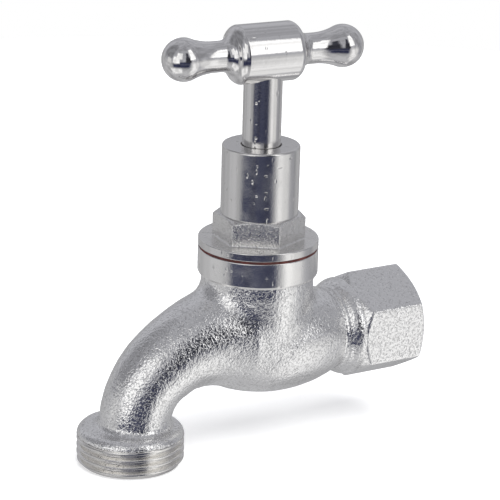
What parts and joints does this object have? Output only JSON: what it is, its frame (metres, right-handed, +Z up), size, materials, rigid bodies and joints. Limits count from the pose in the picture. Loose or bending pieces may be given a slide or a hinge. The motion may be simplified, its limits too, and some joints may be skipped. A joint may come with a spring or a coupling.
{
  "type": "garden tap",
  "caption": "Wall garden tap: hexagon socket, round cast body, down-turned threaded hose outlet, rising spindle and tee handle.",
  "frame": {"origin": "centre of the wall socket's mouth, on the plane of the hexagon's end face", "axes": "+X from the wall towards the spout, +Z up along the spindle, +Y completes a right-handed frame"},
  "size_m": [0.0912, 0.0298, 0.1067],
  "materials": {
    "cast_body": "bright nickel plate on a blasted casting",
    "bonnet": "bright nickel plate on turned and cast faces",
    "spindle": "bright nickel plate on a turned bar",
    "handle": "mirror polished nickel plate",
    "fibre_washer": "red fibre",
    "thrust_washer": "smooth",
    "seals": "smooth",
    "valve_rubber": "matt",
    "valve_brass": "turned",
    "handle_pin": "ground"
  },
  "bodies": {
    "tap_body": {"body_casting": "cast_body", "body_washer": "fibre_washer", "bonnet": "bonnet"},
    "jumper_valve": {"jumper": "valve_brass", "jumper_washer": "valve_rubber", "washer_plate": "valve_brass", "jumper_nut": "valve_brass"},
    "spindle_and_handle": {"spindle": "spindle", "seal_ring_lower": "seals", "seal_ring_upper": "seals", "thrust_washer": "thrust_washer", "handle": "handle", "handle_pin": "handle_pin"}
  },
  "joints": [
    {"name": "jumper_lift", "type": "slide", "parent": "tap_body", "child": "jumper_valve", "axis": [0, 0, 1], "range_m": [0, 0.0075]},
    {"name": "handle_turn", "type": "hinge", "parent": "jumper_valve", "child": "spindle_and_handle", "pos_m": [0.043, 0, 0.05], "axis": [0, 0, 1], "range_deg": [0, 900]}
  ],
  "couplings": [
    {"joint": "jumper_lift", "follows": "handle_turn", "m_per_rad": 0.00047746}
  ]
}
